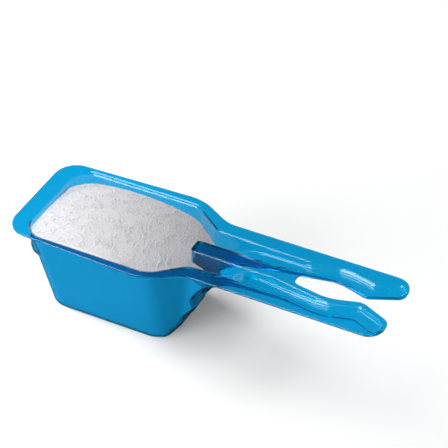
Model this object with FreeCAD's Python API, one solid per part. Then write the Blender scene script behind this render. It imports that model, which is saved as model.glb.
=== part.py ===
import FreeCAD, Part
import math
import os

from FreeCAD import Vector

# A moulded washing powder scoop whose forked handle also clips the opened bag shut.
# Lengths are in millimetres. While the shapes are made, x runs from the lip to the
# fork's tips, y is across, and z is 0 at the rim and negative below it.

# Whole scoop
scoop_length = 180.0
bowl_depth = 44.5
wall = 1.2
base_centre_from_lip = 47.0

# Flat flange: lip, sides, shoulders and handle, as half widths from the centre line
lip_half_width = 27.8
lip_corner_radius = 11.0
shoulder_half_width = 30.4
shoulder_start = 71.5
shoulder_end = 88.8
shoulder_outer_radius = 24.0
shoulder_neck_radius = 18.0
handle_half_width = 20.4
tip_outer_radius = 7.5
flange_edge_bevel = 0.3
rim_fold_bevel = 0.6

# Slot that grips the bag, open between the fork's tips
slot_start_from_tip = 47.3
slot_start_half = 3.0
slot_start_radius = 2.6
slot_widest_from_tip = 29.5
slot_widest_half = 5.9
slot_widest_radius = 25.0
throat_from_tip = 15.0
throat_half = 1.5
throat_radius = 6.0
flare_half = 8.2
flare_radius = 4.5
slot_start = scoop_length - slot_start_from_tip
slot_widest = scoop_length - slot_widest_from_tip
throat_place = scoop_length - throat_from_tip

# Bowl cavity at the rim, and how far each wall leans inwards below it
cavity_front = 8.2
cavity_half_width = 25.3
cavity_front_radius = 10.0
cavity_shoulder_radius = 13.0
cavity_neck_radius = 9.0
front_lean_deg = 10.3
side_lean_deg = 6.8
shoulder_lean_deg = 4.0
floor_bevel = 1.3

# Troughs, one down each arm, open to the bowl, with the web between them
trough_neck = 87.5
trough_neck_half = 13.3
trough_outer_half = 12.4
web_half_width = 4.2
web_end_from_lip = 82.0
web_corner_radius = 2.8
crotch_from_lip = 109.4
crotch_half_width = 1.9
slot_flange = 2.8
bulge_flange = 15.1
trough_throat_half = 11.4
tip_flange = 1.9
trough_end_outer = 17.4
trough_end_outer_radius = 2.8
trough_end_inner_radius = 3.0

# Undersides of the troughs, from the bowl's floor up the back and along the handle
back_foot = 76.6
back_foot_radius = 6.0
lower_swell = (82.9, -36.5)
lower_swell_radius = 6.0
swell_groove = (84.0, -32.2)
swell_groove_radius = 2.5
upper_swell = (90.2, -25.0)
upper_swell_radius = 6.0
back_top = (88.3, -20.5)
back_top_radius = 2.0
handle_root = (96.6, -5.8)
handle_root_radius = 28.0
trough_depth_at_tips = 3.1

# Shoulder under the lip, across the front wall and round its two corners
front_swell_face = 6.8
front_swell_top = 2.6
front_swell_bottom = 16.5
front_swell_half_width = 25.6
front_swell_reach = 40.0
front_swell_back_half = 17.0
front_swell_corner_radius = 9.0
front_swell_bevel = 1.7
front_swell_round = 3.4

# Powder heap
powder_clearance = 0.15
heap_centre_from_lip = 40.0
heap_centre_to_one_side = 9.0
heap_above_rim = 1.0
heap_radius = 130.0

# How far the cutting forms run past the faces they cut
overrun = 1.0


def unit(a, b):
    length = math.hypot(b[0] - a[0], b[1] - a[1])
    return ((b[0] - a[0]) / length, (b[1] - a[1]) / length)


def turn_at(previous, corner, following):
    # Positive for a right turn, which is an outward corner of a clockwise outline
    a = unit(previous, corner)
    b = unit(corner, following)
    return -math.atan2(a[0] * b[1] - a[1] * b[0], a[0] * b[0] + a[1] * b[1])


def crossing(p, u, q, v):
    # Where the line through p along u meets the line through q along v
    step = ((q[0] - p[0]) * v[1] - (q[1] - p[1]) * v[0]) / (u[0] * v[1] - u[1] * v[0])
    return (p[0] + u[0] * step, p[1] + u[1] * step)


def moved_sides(points, distances):
    # Moves the side that arrives at each corner of a clockwise outline outwards
    sides = []
    for i, corner in enumerate(points):
        along = unit(points[i - 1], corner)
        sides.append(((corner[0] - along[1] * distances[i], corner[1] + along[0] * distances[i]),
                      along))
    count = len(points)
    return [crossing(*sides[i], *sides[(i + 1) % count]) for i in range(count)]


def grown_radii(points, radii, distances):
    # Keeps arcs concentric: outward corners gain the distance and inward ones lose it
    count = len(points)
    arcs = []
    for i in range(count):
        turn = turn_at(points[i - 1], points[i], points[(i + 1) % count])
        arcs.append(radii[i] + math.copysign(1, turn) * distances[i] if radii[i] else 0.0)
    return arcs


def rounded_outline(points, radii, place):
    # Closed wire of straight sides and tangent arcs; place turns (a, b) into a 3-D point
    count = len(points)
    starts, middles, ends = [], [], []
    for i in range(count):
        corner = points[i]
        back = unit(corner, points[i - 1])
        ahead = unit(corner, points[(i + 1) % count])
        turn = abs(turn_at(points[i - 1], corner, points[(i + 1) % count]))
        reach = radii[i] * math.tan(turn / 2)
        towards = (back[0] + ahead[0], back[1] + ahead[1])
        size = math.hypot(*towards)
        sag = radii[i] * (1 / math.cos(turn / 2) - 1)
        starts.append((corner[0] + back[0] * reach, corner[1] + back[1] * reach))
        ends.append((corner[0] + ahead[0] * reach, corner[1] + ahead[1] * reach))
        middles.append((corner[0] + towards[0] / size * sag, corner[1] + towards[1] / size * sag))
    edges = []
    for i in range(count):
        if radii[i]:
            edges.append(Part.Arc(place(starts[i]), place(middles[i]), place(ends[i])).toShape())
        edges.append(Part.LineSegment(place(ends[i]), place(starts[(i + 1) % count])).toShape())
    return Part.Wire(edges)


def both_sides(half):
    # Completes a clockwise outline of (x, half width, radius) rows by its mirror image
    rows = half + [(x, -y, radius) for x, y, radius in reversed(half)]
    return [(x, y) for x, y, radius in rows], [radius for x, y, radius in rows]


def slot_side(distance):
    # The bag slot's edge on one arm, moved into the arm by a distance
    points = [(slot_start, slot_start_half), (slot_widest, slot_widest_half),
              (throat_place, throat_half), (scoop_length, flare_half)]
    sides = []
    for a, b in zip(points[:-1], points[1:]):
        along = unit(a, b)
        sides.append(((a[0] - along[1] * distance, a[1] + along[0] * distance), along))
    corners = [crossing(*first, *second) for first, second in zip(sides[:-1], sides[1:])]
    return sides, corners


def flange_outline():
    half = [
        (0.0, lip_half_width, lip_corner_radius),
        (shoulder_start, shoulder_half_width, shoulder_outer_radius),
        (shoulder_end, handle_half_width, shoulder_neck_radius),
        (scoop_length, handle_half_width, tip_outer_radius),
        (scoop_length, flare_half, flare_radius),
        (throat_place, throat_half, throat_radius),
        (slot_widest, slot_widest_half, slot_widest_radius),
        (slot_start, slot_start_half, slot_start_radius),
    ]
    points, radii = both_sides(half)
    return rounded_outline(points, radii, lambda p: Vector(p[0], p[1], 0))


def hollow_corners(depth, growth):
    # Corners and arcs of the plan of bowl and troughs at a depth below the rim, where the
    # two troughs are still one and part at a crotch narrower than the web
    sides, corners = slot_side(slot_flange)
    slot_foot = sides[0][0]
    last, flare = sides[-1]
    end = scoop_length - tip_flange
    flare_at_end = crossing(last, flare, (end, 0), (0, 1))
    half = [
        (cavity_front, cavity_half_width, cavity_front_radius),
        (shoulder_start, cavity_half_width, cavity_shoulder_radius),
        (trough_neck, trough_neck_half, cavity_neck_radius),
        (slot_start, trough_outer_half, slot_widest_radius),
        (slot_widest, bulge_flange, slot_widest_radius),
        (throat_place, trough_throat_half, throat_radius),
        (end, trough_end_outer, trough_end_outer_radius),
        (flare_at_end[0], flare_at_end[1], trough_end_inner_radius),
        (corners[1][0], corners[1][1], throat_radius - slot_flange),
        (corners[0][0], corners[0][1], slot_widest_radius + slot_flange),
        (slot_foot[0], slot_foot[1], 0.0),
        (crotch_from_lip, crotch_half_width, 0.0),
    ]
    leans = [front_lean_deg, side_lean_deg, shoulder_lean_deg]
    leans += [0.0] * (len(half) - len(leans))
    leans += [0.0] + leans[:0:-1]
    points, radii = both_sides(half)
    inwards = [growth - depth * math.tan(math.radians(lean)) for lean in leans]
    radii = grown_radii(points, radii, [growth] * len(points))
    return moved_sides(points, inwards), radii


def walled_block(upper, lower, radii):
    # Solid between two rings of corners, with an arc of its own radius up each corner
    count = len(upper)
    faces = []
    for i in range(count):
        j = (i + 1) % count
        faces.append(Part.Face(Part.makePolygon([upper[i], upper[j], lower[j], lower[i], upper[i]])))
    for ring in (upper, lower):
        faces.append(Part.Face(Part.makePolygon(ring + ring[:1])))
    block = Part.Solid(Part.Shell(faces))
    middles = [(upper[i] + lower[i]) * 0.5 for i in range(count)]
    for radius in sorted(set(radii) - {0.0}):
        spots = [Part.Vertex(middles[i]) for i in range(count) if radii[i] == radius]
        uprights = [edge for edge in block.Edges if edge.BoundBox.ZLength > 1
                    and any(edge.distToShape(spot)[0] < 0.0001 for spot in spots)]
        block = block.makeFillet(radius, uprights)
    return block


def side_profile(growth, top):
    # Floor, back wall and trough undersides seen from the side, closed above the rim
    outside = [
        (-overrun, -bowl_depth, 0.0),
        (back_foot, -bowl_depth, back_foot_radius),
        (lower_swell[0], lower_swell[1], lower_swell_radius),
        (swell_groove[0], swell_groove[1], swell_groove_radius),
        (upper_swell[0], upper_swell[1], upper_swell_radius),
        (back_top[0], back_top[1], back_top_radius),
        (handle_root[0], handle_root[1], handle_root_radius),
        (scoop_length + overrun, -trough_depth_at_tips, 0.0),
        (scoop_length + overrun, top + wall - growth, 0.0),
        (-overrun, top + wall - growth, 0.0),
    ]
    points = [(x, z) for x, z, radius in outside]
    radii = [radius for x, z, radius in outside]
    points, radii = points[::-1], radii[::-1]
    distances = [growth - wall] * len(points)
    points, radii = moved_sides(points, distances), grown_radii(points, radii, distances)
    across = scoop_length
    place = lambda p: Vector(p[0], -across / 2, p[1])
    return Part.Face(rounded_outline(points, radii, place)).extrude(Vector(0, across, 0))


def floor_edges(form, top):
    # Edges where a wall that reaches the top meets a face that doesn't
    walls = []
    floors = []
    for face in form.Faces:
        if face.BoundBox.ZMax > top - 0.01 and face.BoundBox.ZLength > 0.01:
            walls.append(face)
        elif face.BoundBox.ZMax < top - 0.01:
            floors.append(face)
    wall_edges = {edge.hashCode(): edge for face in walls for edge in face.Edges}
    found = []
    for face in floors:
        for edge in face.Edges:
            match = wall_edges.get(edge.hashCode())
            if match is not None and match.isSame(edge):
                found.append(edge)
    return found


def bevel_moved(bevel, growth):
    # Bevel of a square edge once both of its faces have moved outwards
    return bevel + growth * (2 - math.sqrt(2))


def front_swell(growth):
    # Step that stands out from the front wall and fades along both sides, round outside
    # and bevelled inside
    half = [
        (front_swell_face + wall, front_swell_half_width - wall,
         front_swell_corner_radius - wall),
        (front_swell_reach, front_swell_back_half - wall, 0.0),
    ]
    points, radii = both_sides(half)
    distances = [growth] * len(points)
    points, radii = moved_sides(points, distances), grown_radii(points, radii, distances)
    low = -front_swell_bottom + wall - growth
    high = -front_swell_top - wall + growth
    outline = rounded_outline(points, radii, lambda p: Vector(p[0], p[1], low))
    block = Part.Face(outline).extrude(Vector(0, 0, high - low))
    inside = front_swell_reach - overrun
    rims = [edge for edge in block.Edges
            if edge.BoundBox.ZLength < 0.01 and edge.BoundBox.XMin < inside]
    if growth > 0:
        return block.makeFillet(front_swell_round, rims)
    return block.makeChamfer(bevel_moved(front_swell_bevel, growth), rims)


def web_gap(growth, top):
    # Upright block that parts the troughs, as wide as the web on top of it
    start = web_end_from_lip + growth
    half = [
        (slot_widest, web_half_width - growth, 0.0),
        (start, web_half_width - growth, web_corner_radius - growth),
    ]
    points, radii = both_sides(half)
    points, radii = points[::-1], radii[::-1]
    outline = rounded_outline(points, radii, lambda p: Vector(p[0], p[1], top + overrun))
    return Part.Face(outline).extrude(Vector(0, 0, -top - 2 * overrun - bowl_depth))


def hollow_form(growth, top):
    # The space inside bowl and troughs, grown by the wall for the outside surface
    rings = []
    for height in (top, -bowl_depth - overrun):
        points, radii = hollow_corners(-height, growth)
        rings.append([Vector(x, y, height) for x, y in points])
    form = walled_block(*rings, radii).common(side_profile(growth, top + overrun))
    form = form.makeChamfer(bevel_moved(floor_bevel, growth), floor_edges(form, top))
    return form.cut(web_gap(growth, top)).fuse(front_swell(growth)).removeSplitter()


def edges_at(shape, height, keep):
    return [edge for edge in shape.Edges
            if abs(edge.BoundBox.ZMin - height) < 0.001
            and abs(edge.BoundBox.ZMax - height) < 0.001 and keep(edge)]


def make_scoop():
    plate = Part.Face(flange_outline()).extrude(Vector(0, 0, -wall))
    rims = [edge for edge in plate.Edges if edge.BoundBox.ZLength < 0.01]
    plate = plate.makeChamfer(flange_edge_bevel, rims)
    outside = hollow_form(wall, -wall / 2)
    inside = hollow_form(0.0, overrun)
    scoop = plate.fuse(outside).cut(inside).removeSplitter()
    fold = edges_at(scoop, 0.0, lambda edge: inside_mouth(edge, inside))
    return scoop.makeChamfer(rim_fold_bevel, fold)


def inside_mouth(edge, inside):
    middle = edge.valueAt((edge.FirstParameter + edge.LastParameter) / 2)
    return inside.distToShape(Part.Vertex(middle))[0] < 0.01


def make_powder():
    space = hollow_form(-powder_clearance, overrun)
    centre = Vector(heap_centre_from_lip, -heap_centre_to_one_side, heap_above_rim - heap_radius)
    heap = Part.makeSphere(heap_radius, centre, Vector(0, 1, 0))
    return space.common(heap).removeSplitter()


def main():
    os.makedirs("parts", exist_ok=True)
    to_base = Vector(-base_centre_from_lip, 0, bowl_depth)
    for name, shape in (("scoop", make_scoop()), ("washing_powder", make_powder())):
        solids = shape.Solids
        solid = solids[0] if len(solids) == 1 else Part.makeCompound(solids)
        solid.translate(to_base)
        solid.exportStep("parts/" + name + ".step")
        print(name, "solids", len(solids), "valid", solid.isValid(), "volume", round(solid.Volume, 1))


main()
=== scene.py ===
import math
import random
from bisect import bisect_left

import bmesh
import bpy
from mathutils import Matrix, Vector, noise


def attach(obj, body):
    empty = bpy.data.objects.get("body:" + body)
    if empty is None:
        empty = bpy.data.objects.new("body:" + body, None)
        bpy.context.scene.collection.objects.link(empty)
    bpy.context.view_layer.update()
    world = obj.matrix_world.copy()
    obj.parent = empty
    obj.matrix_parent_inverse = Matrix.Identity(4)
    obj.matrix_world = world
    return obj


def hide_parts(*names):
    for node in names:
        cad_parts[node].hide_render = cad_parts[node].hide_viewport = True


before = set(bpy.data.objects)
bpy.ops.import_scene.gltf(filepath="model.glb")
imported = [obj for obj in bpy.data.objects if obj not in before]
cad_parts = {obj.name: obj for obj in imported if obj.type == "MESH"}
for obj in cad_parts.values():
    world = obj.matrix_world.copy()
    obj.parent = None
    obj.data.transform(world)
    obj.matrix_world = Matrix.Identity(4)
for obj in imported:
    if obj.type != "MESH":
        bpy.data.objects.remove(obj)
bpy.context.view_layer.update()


def linkMesh(name, mesh):
    piece = bpy.data.objects.new(name, mesh)
    bpy.context.scene.collection.objects.link(piece)
    return piece


def newMaterial(name):
    material = bpy.data.materials.new(name)
    material.use_nodes = True
    tree = material.node_tree
    return material, tree, tree.nodes["Principled BSDF"]


def joinRays(tree, operation, first, *others):
    # a mask from the named outputs of a Light Path node
    nodes, links = tree.nodes, tree.links
    path = nodes.new("ShaderNodeLightPath")
    result = path.outputs[first]
    for other in others:
        join = nodes.new("ShaderNodeMath")
        join.operation = operation
        links.new(result, join.inputs[0])
        links.new(path.outputs[other], join.inputs[1])
        result = join.outputs[0]
    return result


# Clear blue moulded plastic
clearBlue = {
    "color": (0.003, 0.34, 0.66),
    "clarity": 0.95,
    "smoothness": 0.03,
    "ior": 1.22,
    "glossTint": (0.3, 0.75, 1.0),
    "shadowTint": (0.88, 0.91, 0.92),
    "skinWeight": 1.0,
    "skinRoughness": 0.05,
    "skinIor": 1.5,
}


def makeClearBlue():
    material, tree, shader = newMaterial("clearBluePlastic")
    nodes, links = tree.nodes, tree.links
    shader.inputs["Base Color"].default_value = (*clearBlue["color"], 1)
    shader.inputs["Roughness"].default_value = clearBlue["smoothness"]
    shader.inputs["IOR"].default_value = clearBlue["ior"]
    shader.inputs["Specular Tint"].default_value = (*clearBlue["glossTint"], 1)
    shader.inputs["Transmission Weight"].default_value = clearBlue["clarity"]
    shader.inputs["Coat Weight"].default_value = clearBlue["skinWeight"]
    shader.inputs["Coat Roughness"].default_value = clearBlue["skinRoughness"]
    shader.inputs["Coat IOR"].default_value = clearBlue["skinIor"]
    # lamps and bounced light pass straight through, a little dimmed
    tint = nodes.new("ShaderNodeBsdfTransparent")
    tint.inputs["Color"].default_value = (*clearBlue["shadowTint"], 1)
    mix = nodes.new("ShaderNodeMixShader")
    links.new(joinRays(tree, "MAXIMUM", "Is Shadow Ray", "Is Diffuse Ray"), mix.inputs["Fac"])
    links.new(shader.outputs["BSDF"], mix.inputs[1])
    links.new(tint.outputs["BSDF"], mix.inputs[2])
    links.new(mix.outputs["Shader"], nodes["Material Output"].inputs["Surface"])
    return material


# Scoop, with the fold round its mouth made rounder
mouthFold = {
    "doubles": 1e-6,
    "flatTurn": 0.5,
    "softTurn": 62,
    "bevelDepth": (0.00045, 0.0008),  # how far below the rim the narrow bevel ends
    "bevelTilt": (0.5, 0.9),
    "wallTilt": 0.3,
    "joinGap": 0.00006,
    "levelGap": 0.00001,
    "foldTurn": 60,
    "width": 0.0019,
    "segments": 5,
    "steps": ((0.0290, 0.88), (0.0302, 0.76), (0.0314, 0.63), (0.0326, 0.50), (0.0338, 0.38)),
    "end": (0.058, 0.062),
    "normalWeight": 50,
}


def mergeFlats(bm):
    bmesh.ops.dissolve_limit(bm, angle_limit=math.radians(mouthFold["flatTurn"]),
                             verts=bm.verts[:], edges=bm.edges[:])


def shareAt(place):
    # full round on the bowl, then smaller in steps down to the handle's
    share = 1.0
    for start, value in mouthFold["steps"]:
        if place > start:
            share = value
    return share


def cutAcross(bm, place):
    bmesh.ops.bisect_plane(bm, geom=bm.verts[:] + bm.edges[:] + bm.faces[:], dist=1e-7,
                           plane_co=(place, 0, 0), plane_no=(1, 0, 0))


def bevelEnds(edge):
    # whether the narrow bevel meets the wall here
    least, most = mouthFold["bevelTilt"]
    tilts = [face.normal.z for face in edge.link_faces]
    return (any(abs(tilt) < mouthFold["wallTilt"] for tilt in tilts)
            and any(least < tilt < most for tilt in tilts))


def squareFold(bm):
    # takes the narrow bevel off the mouth's fold and marks the fold for a wider round
    rim = max(vert.co.z for vert in bm.verts)
    least, most = mouthFold["bevelDepth"]
    wideEnd = mouthFold["end"][0] + mouthFold["joinGap"]
    for place in mouthFold["end"]:
        cutAcross(bm, place)
    for edge in bm.edges:
        if all(least < rim - vert.co.z < most for vert in edge.verts) and bevelEnds(edge):
            for vert in edge.verts:
                vert.tag = True
    raised = [vert for vert in bm.verts if vert.tag and vert.co.x < wideEnd]
    for vert in raised:
        vert.co.z = rim
    bmesh.ops.remove_doubles(bm, verts=raised, dist=mouthFold["joinGap"])
    mergeFlats(bm)
    for step in mouthFold["steps"]:
        cutAcross(bm, step[0])
    share = bm.edges.layers.float.new("bevel_weight_edge")
    count = 0
    for edge in bm.edges:
        level = all(rim - vert.co.z < mouthFold["levelGap"] and vert.co.x < wideEnd
                    for vert in edge.verts)
        if level and edge.calc_face_angle(0) > math.radians(mouthFold["foldTurn"]):
            middle = (edge.verts[0].co.x + edge.verts[1].co.x) / 2
            edge[share] = shareAt(middle)
            count += 1
    print("fold edges", count)


def makeScoop():
    bm = bmesh.new()
    bm.from_mesh(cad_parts["scoop"].data)
    bmesh.ops.remove_doubles(bm, verts=bm.verts, dist=mouthFold["doubles"])
    mergeFlats(bm)
    squareFold(bm)
    for edge in bm.edges:
        edge.smooth = edge.calc_face_angle(0) < math.radians(mouthFold["softTurn"])
    for face in bm.faces:
        face.smooth = True
    mesh = bpy.data.meshes.new("scoopShell")
    bm.to_mesh(mesh)
    bm.free()
    piece = linkMesh("scoop_shell", mesh)
    mesh.materials.append(makeClearBlue())
    fold = piece.modifiers.new("roundFold", "BEVEL")
    fold.limit_method = "WEIGHT"
    fold.width = mouthFold["width"]
    fold.segments = mouthFold["segments"]
    fold.use_clamp_overlap = False
    fold.loop_slide = False
    even = piece.modifiers.new("evenShade", "WEIGHTED_NORMAL")
    even.keep_sharp = True
    even.weight = mouthFold["normalWeight"]
    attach(piece, "root")
    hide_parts("scoop")
    print("scoop shell", len(mesh.polygons), "faces")


# White granular powder
powder = {
    "paleColor": (0.77, 0.765, 0.795),
    "dimColor": (0.57, 0.57, 0.60),
    "roughness": 0.85,
    "speckleScale": 2200,
    "speckleDetail": 3,
    "speckleRange": (0.35, 0.6),
    "bumpDistance": 0.0003,
    "bumpStrength": 0.12,
    "seed": 11,
    "openTilt": 0.5,
    "grainCount": 9600,
    "grainRadius": (0.00019, 0.00042),
    "grainLength": (0.9, 1.15),
    "grainHeight": (0.85, 1.0),
    "lumpScale": 260,
    "lumpHeight": 0.00022,
    "sink": 0.00012,
    "overCrest": 0.00025,
    "batch": 80,
}


def makePowderMaterial():
    material, tree, shader = newMaterial("whiteGranules")
    nodes, links = tree.nodes, tree.links
    shader.inputs["Roughness"].default_value = powder["roughness"]
    place = nodes.new("ShaderNodeTexCoord")
    speckle = nodes.new("ShaderNodeTexNoise")
    speckle.inputs["Scale"].default_value = powder["speckleScale"]
    speckle.inputs["Detail"].default_value = powder["speckleDetail"]
    ramp = nodes.new("ShaderNodeValToRGB")
    dim, pale = ramp.color_ramp.elements
    dim.position, pale.position = powder["speckleRange"]
    dim.color = (*powder["dimColor"], 1)
    pale.color = (*powder["paleColor"], 1)
    bump = nodes.new("ShaderNodeBump")
    bump.inputs["Distance"].default_value = powder["bumpDistance"]
    bump.inputs["Strength"].default_value = powder["bumpStrength"]
    links.new(place.outputs["Object"], speckle.inputs["Vector"])
    links.new(speckle.outputs["Fac"], ramp.inputs["Fac"])
    links.new(ramp.outputs["Color"], shader.inputs["Base Color"])
    links.new(speckle.outputs["Fac"], bump.inputs["Height"])
    links.new(bump.outputs["Normal"], shader.inputs["Normal"])
    return material


def openFaces(heap):
    # the heap's upper faces, with the area summed up to each one
    sums, corners = [], []
    total = 0.0
    for face in heap.polygons:
        if face.normal.z > powder["openTilt"]:
            total += face.area
            sums.append(total)
            corners.append([heap.vertices[i].co.copy() for i in face.vertices])
    return sums, corners


def spotOn(draw, sums, corners):
    pick = draw.random() * sums[-1]
    a, b, c = corners[bisect_left(sums, pick)][:3]
    s, t = draw.random(), draw.random()
    if s + t > 1:
        s, t = 1 - s, 1 - t
    return a + (b - a) * s + (c - a) * t


def grainPlace(draw, spot, highest):
    lump = noise.noise(spot * powder["lumpScale"]) * powder["lumpHeight"]
    size = draw.uniform(*powder["grainRadius"])
    spot.z = min(spot.z + lump - powder["sink"], highest - size * powder["grainLength"][1])
    lean = Vector((draw.uniform(-1, 1), draw.uniform(-1, 1), 0.3))
    turn = Matrix.Rotation(draw.uniform(0, 6.28), 4, lean)
    stretch = Matrix.Diagonal((size * draw.uniform(*powder["grainLength"]), size,
                               size * draw.uniform(*powder["grainHeight"]), 1))
    return Matrix.Translation(spot) @ turn @ stretch


def makeGrains(material):
    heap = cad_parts["washing_powder"].data
    draw = random.Random(powder["seed"])
    sums, corners = openFaces(heap)
    highest = max(vert.co.z for vert in heap.vertices) + powder["overCrest"]
    whole = bmesh.new()
    for start in range(0, powder["grainCount"], powder["batch"]):  # small batches stay fast
        batch = bmesh.new()
        for _ in range(min(powder["batch"], powder["grainCount"] - start)):
            place = grainPlace(draw, spotOn(draw, sums, corners), highest)
            bmesh.ops.create_icosphere(batch, subdivisions=1, radius=1.0, matrix=place)
        part = bpy.data.meshes.new("grainBatch")
        batch.to_mesh(part)
        batch.free()
        whole.from_mesh(part)
        bpy.data.meshes.remove(part)
    mesh = bpy.data.meshes.new("powderGrains")
    whole.to_mesh(mesh)
    whole.free()
    piece = linkMesh("powder_grains", mesh)
    mesh.materials.append(material)
    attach(piece, "root")
    print("powder grains", len(mesh.polygons), "faces")


def makePowder():
    granules = makePowderMaterial()
    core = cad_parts["washing_powder"]
    core.data.materials.clear()
    core.data.materials.append(granules)
    makeGrains(granules)


# Floor and white surroundings, both dimmed where the plastic's gloss mirrors them
stage = {
    "floorSize": 6.0,
    "floorColor": (0.93, 0.93, 0.93),
    "floorInGloss": (0.06, 0.06, 0.06),
    "floorLift": 0.15,
    "worldLight": 0.09,
    "backdropTop": (0.2, 0.45),
    "roomGlow": 0.03,
}


def mirrored(tree):
    return joinRays(tree, "MULTIPLY", "Is Glossy Ray", "Is Reflection Ray")


def makeFloor():
    bm = bmesh.new()
    bmesh.ops.create_grid(bm, x_segments=1, y_segments=1, size=stage["floorSize"] / 2)
    mesh = bpy.data.meshes.new("floor")
    bm.to_mesh(mesh)
    bm.free()
    floor = linkMesh("floor", mesh)
    material, tree, shader = newMaterial("paleFloor")
    nodes, links = tree.nodes, tree.links
    shade = nodes.new("ShaderNodeMix")
    shade.data_type = "RGBA"
    shade.inputs["A"].default_value = (*stage["floorColor"], 1)
    shade.inputs["B"].default_value = (*stage["floorInGloss"], 1)
    links.new(mirrored(tree), shade.inputs["Factor"])
    links.new(shade.outputs["Result"], shader.inputs["Base Color"])
    shader.inputs["Roughness"].default_value = 1.0
    shader.inputs["Specular IOR Level"].default_value = 0.0
    shader.inputs["Emission Color"].default_value = (1, 1, 1, 1)
    scale = nodes.new("ShaderNodeMath")
    scale.operation = "MULTIPLY"
    scale.inputs[1].default_value = stage["floorLift"]
    direct = joinRays(tree, "MAXIMUM", "Is Camera Ray", "Is Transmission Ray")
    links.new(direct, scale.inputs[0])
    links.new(scale.outputs[0], shader.inputs["Emission Strength"])
    mesh.materials.append(material)


def makeWorld():
    world = bpy.data.worlds.new("studioWorld")
    bpy.context.scene.world = world
    world.use_nodes = True
    tree = world.node_tree
    nodes, links = tree.nodes, tree.links
    background = nodes["Background"]
    background.inputs["Color"].default_value = (1, 1, 1, 1)
    blend = nodes.new("ShaderNodeMapRange")
    blend.inputs["To Min"].default_value = stage["worldLight"]
    direct = joinRays(tree, "MAXIMUM", "Is Camera Ray", "Is Glossy Ray", "Is Transmission Ray")
    links.new(direct, blend.inputs["Value"])
    place = nodes.new("ShaderNodeTexCoord")
    axes = nodes.new("ShaderNodeSeparateXYZ")
    # in the gloss, the room is dark above the backdrop
    dusk = nodes.new("ShaderNodeMapRange")
    dusk.inputs["From Min"].default_value = stage["backdropTop"][0]
    dusk.inputs["From Max"].default_value = stage["backdropTop"][1]
    dusk.inputs["To Min"].default_value = 1.0
    dusk.inputs["To Max"].default_value = stage["roomGlow"]
    seen = nodes.new("ShaderNodeMapRange")
    seen.inputs["To Min"].default_value = 1.0
    links.new(place.outputs["Generated"], axes.inputs["Vector"])
    links.new(axes.outputs["Z"], dusk.inputs["Value"])
    links.new(mirrored(tree), seen.inputs["Value"])
    links.new(dusk.outputs[0], seen.inputs["To Max"])
    links.new(seen.outputs[0], blend.inputs["To Max"])
    links.new(blend.outputs[0], background.inputs["Strength"])


# Lamps: the low key makes the shadow, the strip the thin highlights, the fill lights the near wall
lamps = {
    "aim": (0.04, 0, 0.03),
    "keyLamp": ((-1.62, 0.30, 0.88), 32.0, (0.9, 0.9)),
    "stripLamp": ((-0.36, -0.1, 0.95), 4.0, (0.55, 0.4)),
    "fillLamp": ((-0.6, -1.1, 0.28), 24.0, (1.0, 1.0)),
}


def makeLamp(name):
    place, power, size = lamps[name]
    lamp = bpy.data.lights.new(name, "AREA")
    lamp.energy = power
    lamp.shape = "RECTANGLE"
    lamp.size, lamp.size_y = size
    holder = bpy.data.objects.new(name, lamp)
    bpy.context.scene.collection.objects.link(holder)
    holder.location = place
    facing = Vector(lamps["aim"]) - Vector(place)
    holder.rotation_euler = facing.to_track_quat("-Z", "Y").to_euler()
    return holder


# Camera fitted to the object's outline
view = {
    "azimuth": 27.383,
    "elevation": 39.385,
    "roll": -0.532,
    "target": (0.04071, 0.01881, 0.0445),
    "distance": 0.85907,
    "lens": 153.3,
    "sensor": 36,
    "clipStart": 0.01,
}


def makeCamera():
    turn, rise, roll = (math.radians(view[key]) for key in ("azimuth", "elevation", "roll"))
    back = Vector((math.sin(turn) * math.cos(rise), -math.cos(turn) * math.cos(rise),
                   math.sin(rise)))
    side = Vector((math.cos(turn), math.sin(turn), 0))
    top = back.cross(side)
    right = side * math.cos(roll) + top * math.sin(roll)
    up = top * math.cos(roll) - side * math.sin(roll)
    place = Vector(view["target"]) + back * view["distance"]
    lens = bpy.data.cameras.new("photoView")
    lens.sensor_width = view["sensor"]
    lens.lens = view["lens"]
    lens.clip_start = view["clipStart"]
    camera = bpy.data.objects.new("photoView", lens)
    bpy.context.scene.collection.objects.link(camera)
    facing = Matrix((right, up, back)).transposed().to_4x4()
    camera.matrix_world = Matrix.Translation(place) @ facing
    bpy.context.scene.camera = camera


makeScoop()
makePowder()
makeFloor()
makeWorld()
key = makeLamp("keyLamp")
key.visible_glossy = False  # mirrored, it would whiten the flange when seen from the tips
makeLamp("stripLamp")
makeLamp("fillLamp")
makeCamera()
bpy.context.scene.view_settings.view_transform = "Standard"
print("stage ready")

bpy.context.view_layer.update()
